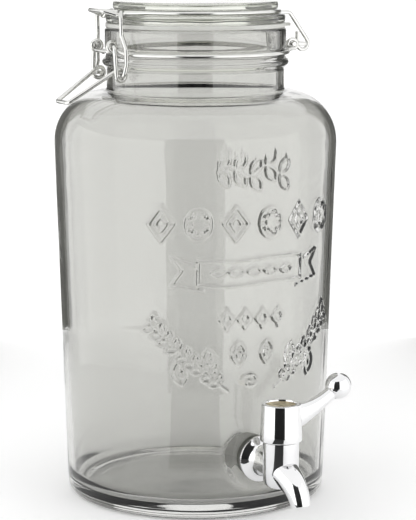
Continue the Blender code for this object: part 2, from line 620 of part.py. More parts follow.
def make_tap_handle(chrome):
    """The turning handle: a hollow cone with a swept arm and a round knob."""
    recess = CAP_RADIUS + GAP
    handle = turned("tap_handle", [
        (0, HANDLE_BASE), (HANDLE_RADIUS_LOW, HANDLE_BASE),
        (HANDLE_RADIUS_TOP, HANDLE_TOP - 0.0008), (HANDLE_RADIUS_TOP - 0.0008, HANDLE_TOP),
        (recess, HANDLE_TOP), (recess, CAP_TOP - CAP_THICKNESS - GAP),
        (0.0055, CAP_TOP - CAP_THICKNESS - GAP), (0.0055, SCREW_SEAT),
        (0.0022, SCREW_SEAT), (0.0022, SCREW_SEAT - 0.003), (0, SCREW_SEAT - 0.003)],
        chrome, (0, VALVE_Y, 0), "Z", 40)
    arm = []
    for k in range(8):
        share = k / 7
        reach = 0.0125 + (KNOB_REACH - 0.0125) * share
        height = HANDLE_BASE + 0.0158 + 0.0173 * share ** 1.35
        lean = math.radians(12 + 34 * share)
        half = 0.0085 - 0.0038 * math.sin(math.pi * min(share * 0.62, 0.5))
        arm.append(((reach, VALVE_Y, height), (0, 1, 0),
                    (-math.sin(lean), 0, math.cos(lean)), 0.0056 - 0.0008 * share, half))
    arm = lofted("arm_helper", arm, None, 20)
    knob_height = HANDLE_BASE + 0.0333
    steps = 8
    knob = turned("knob_helper", [
        (KNOB_RADIUS * math.sin(math.pi * k / steps), knob_height
         - KNOB_RADIUS * math.cos(math.pi * k / steps)) for k in range(steps + 1)],
        None, (KNOB_REACH, VALVE_Y, 0), "Z", 20)
    half = STEM_SIDE / 2 + GAP
    socket = block("socket_cutter", (-half, VALVE_Y - half, HANDLE_BASE - 0.01),
                   (half, VALVE_Y + half, SCREW_SEAT - 0.002))
    combine(handle, arm, "UNION")
    combine(handle, knob, "UNION")
    combine(handle, socket, "DIFFERENCE")
    return handle


def groove_outline(low, high, radius, grooves, depth, width):
    """A pin's outline from low to high with ring grooves cut at the given heights."""
    outline = [(0, low), (radius, low)]
    for height in grooves:
        outline += [(radius, height - width / 2), (radius - depth, height - width / 2),
                    (radius - depth, height + width / 2), (radius, height + width / 2)]
    return outline + [(radius, high), (0, high)]


def make_valve(plastic, rubber):
    """The valve plug with its cross port and square stem, and two rings that seal it."""
    depth = 0.0016
    width = 0.0022
    low_ring = CHAMBER_FLOOR + 0.0018
    high_ring = BARREL_HEIGHT - 0.006
    plug = turned("valve_plug", groove_outline(CHAMBER_FLOOR + GAP, BARREL_HEIGHT - 0.002,
                                               PLUG_RADIUS, (low_ring, high_ring), depth, width),
                  plastic, (0, VALVE_Y, 0), "Z", 32)
    half = STEM_SIDE / 2
    stem = block("stem_helper", (-half, VALVE_Y - half, BARREL_HEIGHT - 0.004),
                 (half, VALVE_Y + half, SCREW_SEAT - 0.0035))
    port = turned("port_cutter", [(0, -0.012), (PASSAGE_RADIUS - 0.0005, -0.012),
                                  (PASSAGE_RADIUS - 0.0005, 0.012), (0, 0.012)],
                  None, (0, 0, 0), "Z", 16)
    for vertex in port.data.vertices:
        x, y, z = vertex.co
        vertex.co = (z, y + VALVE_Y, TAP_HEIGHT - x)
    combine(plug, stem, "UNION")
    combine(plug, port, "DIFFERENCE")
    rings = []
    for name, height in (("plug_o_ring_lower", low_ring), ("plug_o_ring_upper", high_ring)):
        inner = PLUG_RADIUS - depth + GAP
        outer = CHAMBER_RADIUS - GAP / 2
        middle = (inner + outer) / 2
        half = (outer - inner) / 2
        tall = width / 2 - GAP
        outline = [(middle + half * math.cos(math.pi / 3 * k),
                    height + tall * math.sin(math.pi / 3 * k)) for k in range(6)]
        rings.append(turned(name, outline, rubber, (0, VALVE_Y, 0), "Z", 32))
    return [plug] + rings


def make_handle_trim(brass, steel):
    """The brass-coloured cap disc and the screw under it."""
    cap = turned("handle_cap_disc", [
        (0, CAP_TOP - CAP_THICKNESS), (CAP_RADIUS, CAP_TOP - CAP_THICKNESS),
        (CAP_RADIUS, CAP_TOP - 0.0004), (CAP_RADIUS - 0.0004, CAP_TOP), (0, CAP_TOP)],
        brass, (0, VALVE_Y, 0), "Z", 32)
    screw = turned("handle_screw", [
        (0, SCREW_SEAT - 0.0028), (0.0018, SCREW_SEAT - 0.0028), (0.0018, SCREW_SEAT + GAP),
        (0.0042, SCREW_SEAT + GAP), (0.0042, SCREW_SEAT + 0.002),
        (0.0030, SCREW_SEAT + 0.003), (0, SCREW_SEAT + 0.003)], steel, (0, VALVE_Y, 0), "Z", 16)
    return [cap, screw]


def hinge_empty(name, point, pieces):
    """An empty on a joint's axis that carries the pieces which turn together."""
    empty = bpy.data.objects.new(name, None)
    bpy.context.collection.objects.link(empty)
    empty.location = point
    bpy.context.view_layer.update()
    for piece in pieces:
        piece.parent = empty
        piece.matrix_parent_inverse = empty.matrix_world.inverted()


def build():
    """Clears the scene and makes every piece in place."""
    for item in list(bpy.data.objects):
        bpy.data.objects.remove(item, do_unlink=True)
    jar_glass = material("jar_glass", (0.86, 0.88, 0.86), 0.03, alpha=0.35)
    lid_glass = material("lid_glass", (0.78, 0.80, 0.72), 0.03, alpha=0.45)
    silicone = material("silicone", (0.90, 0.90, 0.88), 0.45)
    steel = material("bright_wire", (0.78, 0.78, 0.77), 0.18, metallic=1.0)
    chrome = material("chromed_plastic", (0.83, 0.83, 0.83), 0.06, metallic=1.0)
    brass = material("brass_foil", (0.80, 0.66, 0.38), 0.3, metallic=1.0)
    screw_steel = material("screw_steel", (0.6, 0.6, 0.6), 0.3, metallic=1.0)
    white_plastic = material("white_plastic", (0.85, 0.85, 0.83), 0.4)
    rubber = material("seal_rubber", (0.80, 0.80, 0.78), 0.6)
    ring_rubber = material("ring_rubber", (0.05, 0.05, 0.05), 0.6)

    make_jar(jar_glass)
    make_neck_wire(steel)
    make_staple(steel)
    make_lever(steel)
    make_bail(steel)
    lid = [make_lid(lid_glass), make_gasket(silicone), make_lid_wire(steel)]
    hinge_empty("lid_hinge_axis", (HINGE_AXIS[0], 0, HINGE_AXIS[1]), lid)

    make_tap_body(chrome)
    make_washer("front_seal_washer", BOSS_FACE + GAP, rubber)
    make_washer("rear_seal_washer", PAD_FACE - GAP - WASHER_THICKNESS, rubber)
    make_nut(white_plastic)
    turning = [make_tap_handle(chrome)] + make_valve(white_plastic, ring_rubber)
    turning += make_handle_trim(brass, screw_steel)
    hinge_empty("tap_axis", (0, VALVE_Y, 0), turning)


build()
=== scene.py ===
import math

import bpy
import numpy as np
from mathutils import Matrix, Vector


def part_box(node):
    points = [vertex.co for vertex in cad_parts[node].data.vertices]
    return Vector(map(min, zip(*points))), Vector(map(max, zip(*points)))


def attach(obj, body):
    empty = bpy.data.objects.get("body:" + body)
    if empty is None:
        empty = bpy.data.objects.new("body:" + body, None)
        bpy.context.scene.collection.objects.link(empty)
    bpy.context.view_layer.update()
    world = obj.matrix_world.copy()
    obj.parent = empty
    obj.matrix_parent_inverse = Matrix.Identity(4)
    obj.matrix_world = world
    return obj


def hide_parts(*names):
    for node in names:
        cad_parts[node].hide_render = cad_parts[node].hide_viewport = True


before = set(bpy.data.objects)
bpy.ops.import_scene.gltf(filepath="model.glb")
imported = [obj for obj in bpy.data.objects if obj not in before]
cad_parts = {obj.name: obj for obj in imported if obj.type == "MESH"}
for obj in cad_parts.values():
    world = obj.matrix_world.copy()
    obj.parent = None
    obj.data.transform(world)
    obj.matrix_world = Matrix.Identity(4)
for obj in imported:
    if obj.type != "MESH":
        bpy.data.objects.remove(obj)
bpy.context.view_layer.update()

MM = 0.001

# Studio. A pale floor under an even white surround, and a long lens a little above the
# jar's middle. Cards round the jar, hidden from the camera, give the glass its edges:
# a dark flag and mat in front, a soft panel at either side and two grey cards behind.
CAMERA_AZIMUTH = math.radians(-27.0)
CAMERA_DISTANCE = 1443 * MM
CAMERA_HEIGHT = 404 * MM
CAMERA_PITCH = math.radians(9.23)
LENS = 138.5
SHIFT = 0.0242


class Socket:
    """A shader socket whose arithmetic adds Math nodes to its tree."""

    def __init__(self, tree, socket):
        self.tree = tree
        self.socket = socket

    def math(self, operation, other):
        made = self.tree.nodes.new("ShaderNodeMath")
        made.operation = operation
        self.tree.links.new(self.socket, made.inputs[0])
        if isinstance(other, Socket):
            self.tree.links.new(other.socket, made.inputs[1])
        else:
            made.inputs[1].default_value = other
        return Socket(self.tree, made.outputs[0])

    def __add__(self, other):
        return self.math("ADD", other)

    def __mul__(self, other):
        return self.math("MULTIPLY", other)

    __radd__ = __add__
    __rmul__ = __mul__


def add_node(tree, kind, settings=None, output=0, **inputs):
    """Adds a node: its settings first, then its sockets' values or links by name."""
    made = tree.nodes.new(kind)
    for name, value in (settings or {}).items():
        if name == "stops":
            ramp = made.color_ramp
            while len(ramp.elements) < len(value):
                ramp.elements.new(1.0)
            for element, (place, color) in zip(ramp.elements, value):
                element.position = place
                element.color = color
        else:
            setattr(made, name, value)
    for name, value in inputs.items():
        slot = made.inputs[name.replace("_", " ")]
        if isinstance(value, Socket):
            tree.links.new(value.socket, slot)
        else:
            slot.default_value = value
    return Socket(tree, made.outputs[output])


def finish(name, base, roughness, **constants):
    """A Principled material; base and roughness may be values or functions of the tree."""
    made = bpy.data.materials.new(name)
    made.use_nodes = True
    tree = made.node_tree
    shader = tree.nodes["Principled BSDF"]
    for label, value in constants.items():
        shader.inputs[label.replace("_", " ")].default_value = value
    for label, value in (("Base Color", base), ("Roughness", roughness)):
        if callable(value):
            tree.links.new(value(tree).socket, shader.inputs[label])
        else:
            shader.inputs[label].default_value = value
    return made, tree, shader


def noise(tree, scale, detail=3.0):
    """A noise value between 0 and 1 on object coordinates, in features per metre."""
    place = add_node(tree, "ShaderNodeTexCoord", output=3)
    return add_node(tree, "ShaderNodeTexNoise", Vector=place, Scale=scale, Detail=detail)


def bump(tree, shader, height, distance, strength=1.0):
    """Feeds a height into the shader's normal."""
    made = add_node(tree, "ShaderNodeBump", Height=height, Distance=distance,
                    Strength=strength)
    tree.links.new(made.socket, shader.inputs["Normal"])


def tint(tree, mask, low, high):
    """A colour between low and high by a mask."""
    return add_node(tree, "ShaderNodeValToRGB",
                    {"stops": [(0.3, (*low, 1)), (0.7, (*high, 1))]}, Fac=mask)


def make_piece(name, points, faces, coating, body, *nodes, smooth_angle=40):
    """A mesh piece in place, riding a body, and standing for CAD nodes."""
    mesh = bpy.data.meshes.new(name)
    mesh.from_pydata(points, [], faces)
    mesh.materials.append(coating)
    mesh.shade_smooth()
    mesh.set_sharp_from_angle(angle=math.radians(smooth_angle))
    piece = bpy.data.objects.new(name, mesh)
    bpy.context.collection.objects.link(piece)
    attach(piece, body)
    if nodes:
        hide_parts(*nodes)
    return piece


floor_mesh = bpy.data.meshes.new("floor")
floor_mesh.from_pydata([(-30, -30, 0), (30, -30, 0), (30, 30, 0), (-30, 30, 0)], [],
                       [(0, 1, 2, 3)])
floor = bpy.data.objects.new("floor", floor_mesh)
bpy.context.collection.objects.link(floor)
floor_paint, _, _ = finish("floor_paint", (0.93, 0.93, 0.93, 1), 0.9,
                           Emission_Color=(1, 1, 1, 1), Emission_Strength=0.15)
floor_mesh.materials.append(floor_paint)


def panel(name, start, end, reach, height, color, strength, foot=None):
    """A curved card round the jar between two angles beside the camera, upright or flat."""
    spans = 16
    angles = np.radians(np.linspace(start, end, spans + 1)) + CAMERA_AZIMUTH
    ring = np.stack([reach * np.sin(angles), -reach * np.cos(angles)], 1)
    near = ring * (foot or reach) / reach
    points = [(x, y, 0.002) for x, y in near] + [(x, y, height) for x, y in ring]
    faces = [(k, k + 1, k + spans + 2, k + spans + 1) for k in range(spans)]
    mesh = bpy.data.meshes.new(name)
    mesh.from_pydata(points, [], faces)
    paint, _, _ = finish(name, color, 1.0, Emission_Color=(1, 1, 1, 1),
                         Emission_Strength=strength)
    mesh.materials.append(paint)
    card = bpy.data.objects.new(name, mesh)
    bpy.context.collection.objects.link(card)
    card.visible_camera = False


panel("dark_flag", -21, 21, 0.40, 0.42, (0.02, 0.02, 0.02, 1), 0.0)
panel("dark_mat", -18, 18, 0.40, 0.004, (0.03, 0.03, 0.03, 1), 0.0, 0.20)
panel("soft_panel_right", 22, 84, 0.46, 0.42, (0.5, 0.5, 0.5, 1), 1.1)
panel("soft_panel_left", -110, -22, 0.46, 0.42, (0.5, 0.5, 0.5, 1), 1.1)
panel("edge_card_right", 128, 158, 0.60, 0.60, (0.16, 0.16, 0.15, 1), 0.0)
panel("edge_card_left", -158, -128, 0.60, 0.60, (0.16, 0.16, 0.15, 1), 0.0)

world = bpy.data.worlds.new("studio")
bpy.context.scene.world = world
world.use_nodes = True
background = world.node_tree.nodes["Background"]
background.inputs["Color"].default_value = (1, 1, 1, 1)
background.inputs["Strength"].default_value = 1.1

camera_data = bpy.data.cameras.new("camera")
camera = bpy.data.objects.new("camera", camera_data)
bpy.context.collection.objects.link(camera)
camera_data.lens = LENS
camera_data.sensor_width = 36.0
camera_data.shift_x = SHIFT
camera_data.clip_start = 0.05
camera.location = (CAMERA_DISTANCE * math.sin(CAMERA_AZIMUTH),
                   -CAMERA_DISTANCE * math.cos(CAMERA_AZIMUTH), CAMERA_HEIGHT)
camera.rotation_euler = (math.pi / 2 - CAMERA_PITCH, 0, CAMERA_AZIMUTH)
bpy.context.scene.camera = camera
bpy.context.scene.view_settings.view_transform = "Standard"

# The jar. One piece of pressed soda-lime glass with walls about 4 mm thick and a heavier
# foot. Its ornament stands up from the front as fine raised lines from the mould.
WALL = 4.0 * MM
_, jar_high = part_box("jar_body")
BODY = jar_high[0]
HEIGHT = jar_high[2]
FOOT = 94.3 * MM
NECK = 64.1 * MM
SHOULDER = 36 * MM
WIDEST = 258 * MM
washer_low, washer_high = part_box("front_seal_washer")
TAP_Z = (washer_low[2] + washer_high[2]) / 2
BOSS_Y = -washer_high[1] - 0.3 * MM
FLOOR_Z = 9.5 * MM


def arc(center, radius, start, end, count):
    """Points of an arc of (radius, height), from angle start to end in degrees."""
    angles = np.radians(np.linspace(start, end, count))
    return np.stack([center[0] + radius * np.cos(angles),
                     center[1] + radius * np.sin(angles)], 1)


def line(start, end, count):
    """Evenly spaced points from start to end, without the first."""
    shares = np.linspace(0, 1, count + 1)[1:, None]
    return np.array(start) * (1 - shares) + np.array(end) * shares


def outer_profile():
    """The outside from the foot's centre to the rim, as (radius, height)."""
    neck_top = 312 * MM
    relief_start = (FOOT + (BODY - FOOT) * 0.27, 76 * MM)
    parts = [
        line((0, 0.6 * MM), (FOOT - 18 * MM, 0.6 * MM), 3),
        line((FOOT - 17 * MM, 0.1 * MM), (FOOT - 8 * MM, 0), 4),
        arc((FOOT - 8 * MM, 8 * MM), 8 * MM, -80, 0, 9),
        line((FOOT, 8 * MM), relief_start, 24),
        line(relief_start, (BODY - 0.05 * MM, WIDEST - 4 * MM), 184),
        arc((BODY - SHOULDER, WIDEST), SHOULDER, 0, 86, 16),
        arc((NECK + 2.6 * MM, 296.6 * MM), 2.6 * MM, 265, 180, 7),
        line((NECK, 298 * MM), (NECK, neck_top - 1.5 * MM), 5),
        arc((NECK + 0.1 * MM, neck_top + 2.6 * MM), 3.0 * MM, -60, 70, 10),
        line((NECK + 0.6 * MM, neck_top + 6.6 * MM), (NECK + 0.3 * MM, neck_top + 8 * MM), 2),
        line((NECK + 0.3 * MM, neck_top + 8 * MM), (NECK + 0.3 * MM, neck_top + 10.6 * MM), 2),
        arc((NECK - 0.3 * MM, neck_top + 13 * MM), 1.5 * MM, -40, 0, 4),
        line((NECK + 1.2 * MM, neck_top + 13 * MM), (NECK + 1.2 * MM, HEIGHT - 2 * MM), 6),
        arc((NECK - 0.8 * MM, HEIGHT - 2 * MM), 2 * MM, 10, 90, 7)]
    return np.concatenate(parts)


def inner_profile():
    """The inside from the rim down to the floor's centre, as (radius, height)."""
    hollow = FOOT - WALL
    corner = 11 * MM
    parts = [
        arc((NECK - WALL + 1.5 * MM, HEIGHT - 1.5 * MM), 1.5 * MM, 92, 180, 6),
        line((NECK - WALL, HEIGHT - 3 * MM), (NECK - WALL, 301 * MM), 3),
        arc((NECK - WALL + 5 * MM, 295 * MM), 5 * MM, 170, 265, 8),
        arc((BODY - SHOULDER, WIDEST), SHOULDER - WALL, 84, 0, 12),
        line((BODY - WALL, WIDEST - 4 * MM), (hollow, FLOOR_Z + corner), 8),
        arc((hollow - corner, FLOOR_Z + corner), corner, -6, -88, 10),
        line((hollow - corner - 1 * MM, FLOOR_Z), (0, FLOOR_Z + 1.5 * MM), 8)]
    return np.concatenate(parts)


def stroke(place, points, width, height):
    """Raised line: a rounded ridge of a width along the points, by the nearest distance."""
    points = np.asarray(points, float)
    start, run = points[:-1], points[1:] - points[:-1]
    offset = place[:, None, :] - start[None]
    share = np.clip((offset * run).sum(2) / np.maximum((run * run).sum(1), 1e-12), 0, 1)
    near = np.sqrt(((offset - share[..., None] * run) ** 2).sum(2)).min(1)
    return height * np.clip(1 - (near / (width / 2)) ** 2, 0, 1) ** 0.6


def curve(center, size, ax, ay, phase=0.0, start=0.0, end=1.0, count=40):
    """A Lissajous curve: x is cosine of ax turns and y is sine of ay turns."""
    t = np.linspace(start, end, count) * 2 * math.pi
    return np.stack([center[0] + size[0] * np.cos(ax * t),
                     center[1] + size[1] * np.sin(ay * t + phase)], 1)


def leaf(base, aim, length, width, count=14):
    """A pointed leaf outline that starts at base and lies along the angle aim."""
    t = np.linspace(0, 1, count)
    half = width / 2 * np.sin(math.pi * t) ** 0.8
    along = np.concatenate([t, t[::-1]]) * length
    across = np.concatenate([half, -half[::-1]])
    c, s = math.cos(aim), math.sin(aim)
    return np.stack([base[0] + along * c - across * s, base[1] + along * s + across * c], 1)


def ornament_strokes():
    """The jar's mould lines in millimetres, x along the front and y its height."""
    lines = []
    t = np.linspace(0, 1, 40)
    vine = np.stack([-28 + 56 * t, 246 + 3.5 * np.sin(4 * math.pi * t)], 1)
    lines.append((vine, 1.8))
    for k in range(5):
        x, y = vine[1 + 8 * k]
        for way in (-1, 1):
            lines.append((leaf((x, y), way * 1.0, 13.0, 7.0, 11), 1.8))
    for k in range(6):
        x, y = -66 + 26 * k, 210
        if k % 2:
            lines.append((curve((x, y), (8.5, 10.5), 1, 1), 2.2))
            lines.append((curve((x, y), (3.2, 4.2), 1, 1), 2.2))
            for petal in range(6):
                aim = petal * math.pi / 3
                lines.append((leaf((x, y), aim, 9.0, 4.5, 7), 1.5))
        else:
            diamond = [(x - 9, y), (x, y + 12), (x + 9, y), (x, y - 12), (x - 9, y)]
            small = [(x - 4, y), (x, y + 5.5), (x + 4, y), (x, y - 5.5),
                     (x - 4, y)]
            lines.append((np.array(diamond, float), 2.2))
            lines.append((np.array(small, float), 2.0))
    wave = np.linspace(-40, 40, 30)
    lines.append((np.stack([wave, 185 + 1.2 * np.sin(wave / 13)], 1), 1.8))
    lines.append((np.stack([wave, 168 + 1.2 * np.sin(wave / 13)], 1), 1.8))
    for way in (-1, 1):
        lines.append((np.array([(way * 40, 168), (way * 40, 185)], float), 1.8))
        lines.append((np.array([(way * 40, 181), (way * 58, 187), (way * 51, 178),
                                (way * 58, 168), (way * 36, 164)], float), 1.8))
    for k in range(5):
        x = -26 + 13 * k
        lines.append((leaf((x - 5.2, 176.5), 0, 10.4, 5.2, 9), 1.6))
    for k in range(4):
        x = -19.5 + 13 * k
        lines.append((leaf((x - 5, 143.5), 0, 10, 8, 9), 2.0))
        lines.append((np.array([(x, 136), (x - 3.2, 143.5), (x, 151), (x + 3.2, 143.5),
                                (x, 136)], float), 1.5))
    for k in range(6):
        aim = math.radians(114 - 9.6 * k)
        x, y = 158 * math.cos(aim) * 0.78, -38 + 158 * math.sin(aim)
        lines.append((leaf((x, y - 8.5), math.pi / 2 + (aim - math.pi / 2) * 0.5, 17, 9.5, 9),
                      2.0))
        lines.append((curve((x, y), (1.6, 3.0), 1, 1, count=10), 1.8))
    for way in (-1, 1):
        share = np.linspace(0, 1, 24)
        stem = np.stack([way * (75 - 57 * share ** 0.9), 143 - 62 * share + 12 * share ** 2], 1)
        lines.append((stem, 1.5))
        for k in range(9):
            x, y = stem[2 + int(k * 2.3)]
            for lean in (0.75, -0.85):
                aim = math.pi / 2 + way * (-0.95 + lean) + way * 0.35 * k / 9
                lines.append((leaf((x, y), aim, 10.5 - 0.4 * k, 4.6, 7), 1.5))
    t = np.linspace(0, 1, 30)
    lines.append((np.stack([7 * t * np.cos(9 * t) - 2, 99 + 6 * t * np.sin(9 * t)], 1), 1.7))
    return lines


def jar_grid():
    """The outside and inside as one closed grid of turned rings.

    The radius at an angle is the profile's radius plus the ornament's ridge there, and
    near the tap it moves out to the plane of the flat boss by a smooth step.
    """
    front = np.radians(np.linspace(-49, 47, 250))
    back = np.radians(np.linspace(47, 311, 50))[1:-1]
    angles = np.concatenate([front, back])
    out = outer_profile()
    radius = np.repeat(out[:, 0][:, None], len(angles), 1)
    height = np.repeat(out[:, 1][:, None], len(angles), 1)
    shown = (out[:, 1] > 78 * MM) & (out[:, 1] < 265 * MM) & (out[:, 0] > 90 * MM)
    rows = np.nonzero(shown)[0]
    x = (angles[None, :len(front)] + math.radians(3)) * radius[rows][:, :len(front)] / MM
    y = height[rows][:, :len(front)] / MM
    place = np.stack([x.ravel(), y.ravel()], 1)
    ridge = np.zeros(len(place))
    for points, width in ornament_strokes():
        low, high = points.min(0) - 3, points.max(0) + 3
        near = np.nonzero(((place > low) & (place < high)).all(1))[0]
        if len(near):
            ridge[near] = np.maximum(ridge[near], stroke(place[near], points, 1.2 * width, 1.45))
    block = radius[np.ix_(rows, range(len(front)))]
    radius[np.ix_(rows, range(len(front)))] = block + ridge.reshape(x.shape) * MM
    across = radius * np.sin(angles)[None]
    reach = np.sqrt(across ** 2 + (height - TAP_Z) ** 2)
    facing = (np.cos(angles)[None] > 0.5) & (height < 90 * MM)
    blend = np.clip((27 * MM - reach) / (9 * MM), 0, 1)
    blend = np.where(facing, blend * blend * (3 - 2 * blend), 0)
    flat = BOSS_Y / np.maximum(np.cos(angles)[None], 0.5)
    radius = radius * (1 - blend) + flat * blend
    inside = inner_profile()
    radius = np.concatenate([radius, np.repeat(inside[:, 0][:, None], len(angles), 1)])
    height = np.concatenate([height, np.repeat(inside[:, 1][:, None], len(angles), 1)])
    return np.stack([radius * np.sin(angles), -radius * np.cos(angles), height], 2)


def ring_faces(rows, count):
    """Quads between neighbouring rings of a closed turned grid."""
    k = np.arange(count)
    nxt = (k + 1) % count
    base = (np.arange(rows - 1) * count)[:, None]
    return np.stack([base + k, base + nxt, base + count + nxt, base + count + k],
                    2).reshape(-1, 4)


def closed(points):
    """Points and faces of a grid of rings whose ends close on their middle points."""
    rows, count = points.shape[:2]
    faces = ring_faces(rows, count).tolist()
    first, last = rows * count, rows * count + 1
    for k in range(count):
        nxt = (k + 1) % count
        faces.append([first, nxt, k])
        faces.append([last, (rows - 1) * count + k, (rows - 1) * count + nxt])
    ends = [points[0].mean(0), points[-1].mean(0)]
    return np.concatenate([points.reshape(-1, 3), ends]), faces


def glass(name, tone, ripple_scale, ripple):
    """Clear pressed glass: a faint tint, and soft ripples from the mould."""
    made, tree, shader = finish(
        name, lambda tree: tint(tree, noise(tree, 9.0), tone, tuple(c * 0.992 for c in tone)),
        0.015, Transmission_Weight=1.0, IOR=1.5)
    bump(tree, shader, noise(tree, ripple_scale, 1.0), ripple)
    return made


jar_glass = glass("jar_glass", (0.715, 0.715, 0.695), 22.0, 0.0004)
jar_points, jar_faces = closed(jar_grid())
jar = make_piece("glass_jar", jar_points, jar_faces, jar_glass, "jar", "jar_body",
                 smooth_angle=60)

# The lid. A heavy disc of pressed glass, slightly olive in its thickness, with a waist that
# holds its wire ring and a shallow plug that centres it in the mouth.
_, lid_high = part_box("lid_glass")
FLANGE = lid_high[0]
LID_TOP = lid_high[2]
LID_BASE = LID_TOP - 15.2 * MM
FLANGE_TOP = LID_BASE + 6.4 * MM
WAIST = 58.4 * MM
DISC = 59.4 * MM


def lathe(profile, count=96, center=(0, 0, 0), along="Z"):
    """Rings of a profile of (radius, height), turned about an axis through center."""
    profile = np.asarray(profile, float)
    angles = np.linspace(0, 2 * math.pi, count, endpoint=False)
    x = profile[:, :1] * np.cos(angles)
    y = profile[:, :1] * np.sin(angles)
    z = np.repeat(profile[:, 1:], count, 1)
    axes = (x, -z, y) if along == "Y" else (x, y, z)
    return np.stack(axes, 2) + np.array(center)


lid_profile = np.concatenate([
    line((0, LID_BASE - 2.5 * MM), (46 * MM, LID_BASE - 2.5 * MM), 6),
    arc((52.5 * MM, LID_BASE - 3.9 * MM), 1.4 * MM, 170, 200, 3),
    line((52.6 * MM, LID_BASE - 5.3 * MM), (55.3 * MM, LID_BASE - 5.5 * MM), 2),
    arc((55.3 * MM, LID_BASE - 3.9 * MM), 1.6 * MM, -80, 0, 5),
    line((56.9 * MM, LID_BASE - 1 * MM), (57.2 * MM, LID_BASE), 2),
    line((58 * MM, LID_BASE), (FLANGE - 1.8 * MM, LID_BASE), 3),
    arc((FLANGE - 1.6 * MM, LID_BASE + 1.6 * MM), 1.6 * MM, -80, 0, 6),
    arc((FLANGE - 2.0 * MM, FLANGE_TOP - 2.0 * MM), 2.0 * MM, 0, 88, 8),
    line((FLANGE - 3 * MM, FLANGE_TOP), (WAIST + 0.5 * MM, FLANGE_TOP), 3),
    line((WAIST, FLANGE_TOP + 0.5 * MM), (WAIST, FLANGE_TOP + 3.1 * MM), 3),
    line((WAIST + 0.3 * MM, FLANGE_TOP + 3.5 * MM), (DISC - 1 * MM, FLANGE_TOP + 3.6 * MM), 1),
    arc((DISC - 0.9 * MM, FLANGE_TOP + 4.6 * MM), 0.9 * MM, -75, 0, 4),
    arc((DISC - 1.6 * MM, LID_TOP - 1.6 * MM), 1.6 * MM, 0, 88, 7),
    line((DISC - 2.5 * MM, LID_TOP), (42 * MM, LID_TOP), 3),
    line((38 * MM, LID_TOP - 0.5 * MM), (0, LID_TOP - 0.6 * MM), 5)])
lid_glass = glass("lid_glass", (0.86, 0.875, 0.81), 30.0, 0.0005)
lid = make_piece("pressed_lid", *closed(lathe(lid_profile, 160)), lid_glass, "lid", "lid_glass")

# The gasket. A flat ring of milky silicone 3 mm thick between rim and lid, with a small
# tab at the hinge's side for pulling the seal open.
gasket_low, gasket_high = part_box("lid_gasket")
SEAL_OUT = 64.6 * MM
SEAL_IN = 61.0 * MM
SEAL_LOW = gasket_low[2]
SEAL_HIGH = gasket_high[2]


def joined(*pieces):
    """One set of points and faces from several."""
    points, faces, start = [], [], 0
    for some, few in pieces:
        points.append(np.asarray(some, float))
        faces += [[start + k for k in face] for face in few]
        start += len(some)
    return np.concatenate(points), faces


def hoop(profile, count=128):
    """A turned ring: rings of a closed profile, with its last ring joined to its first."""
    grid = lathe(profile, count)
    rows = len(grid)
    faces = ring_faces(rows + 1, count) % (rows * count)
    return grid.reshape(-1, 3), faces.tolist()


def box_piece(low, high, turn):
    """A plain block between two corners, turned about the upright axis."""
    corners = np.array([(x, y, z) for z in (low[2], high[2]) for y in (low[1], high[1])
                        for x in (low[0], high[0])])
    c, s = math.cos(turn), math.sin(turn)
    corners = corners @ np.array([[c, s, 0], [-s, c, 0], [0, 0, 1]])
    return corners, [(0, 2, 3, 1), (4, 5, 7, 6), (0, 1, 5, 4), (2, 6, 7, 3), (0, 4, 6, 2),
                     (1, 3, 7, 5)]


soft = 0.5 * MM
seal_profile = np.concatenate([
    arc((SEAL_OUT - soft, SEAL_LOW + soft), soft, -90, 0, 4),
    arc((SEAL_OUT - soft, SEAL_HIGH - soft), soft, 0, 90, 4),
    arc((SEAL_IN + soft, SEAL_HIGH - soft), soft, 90, 180, 4),
    arc((SEAL_IN + soft, SEAL_LOW + soft), soft, 180, 270, 4)])
silicone, silicone_tree, silicone_shader = finish(
    "silicone", lambda tree: tint(tree, noise(tree, 60.0), (0.74, 0.74, 0.70),
                                  (0.82, 0.82, 0.79)),
    0.42, Transmission_Weight=0.25, IOR=1.42)
bump(silicone_tree, silicone_shader, noise(silicone_tree, 500.0), 0.00005)
gasket = make_piece("gasket", *joined(
    hoop(seal_profile),
    box_piece((SEAL_OUT - 2 * MM, -3.8 * MM, SEAL_LOW + 0.4 * MM),
              (SEAL_OUT + 3.9 * MM, 3.8 * MM, SEAL_HIGH - 0.4 * MM), math.radians(-20))),
    silicone, "lid", "lid_gasket")

# The closure's wires. Bright 3 mm spring wire: a neck ring with four eyes, the hinge
# staple, the lever with its coils, the bail and the lid's ring. Lengths are millimetres.
WIRE = 1.5
EYE = 3.3
RING = 66.5
RING_Z = 321.5
FRONT_AXIS = (71.9, 327.0)
REAR_AXIS = (74.7, 325.5)
HINGE_AXIS = (88.6, 325.0)
COIL_AXIS = (67.851, 307.4)
COIL = 3.8
BAIL_TOP = (68.1, 348.9)
LID_RING = 60.4
LID_RING_Z = 350.6


def bent(corners, radius, step=0.2):
    """A route through corners, each inner one rounded by an arc of the bend radius."""
    corners = np.asarray(corners, float)
    points = [corners[:1]]
    for before, corner, after in zip(corners, corners[1:], corners[2:]):
        into = (before - corner) / np.linalg.norm(before - corner)
        out = (after - corner) / np.linalg.norm(after - corner)
        turn = math.pi - math.acos(np.clip(into @ out, -1, 1))
        if turn < 0.12:
            points.append(corner[None])
            continue
        room = 0.48 * min(np.linalg.norm(before - corner), np.linalg.norm(after - corner))
        setback = min(radius * math.tan(turn / 2), room)
        reach = setback / math.tan(turn / 2)
        half = (into + out) / np.linalg.norm(into + out)
        middle = corner + half * reach / math.cos(turn / 2)
        first = corner + into * setback - middle
        angles = np.linspace(0, turn, max(3, math.ceil(turn / step)) + 1)[:, None]
        points.append(middle + first * np.cos(angles) - into * reach * np.sin(angles))
    points.append(corners[-1:])
    return np.concatenate(points)


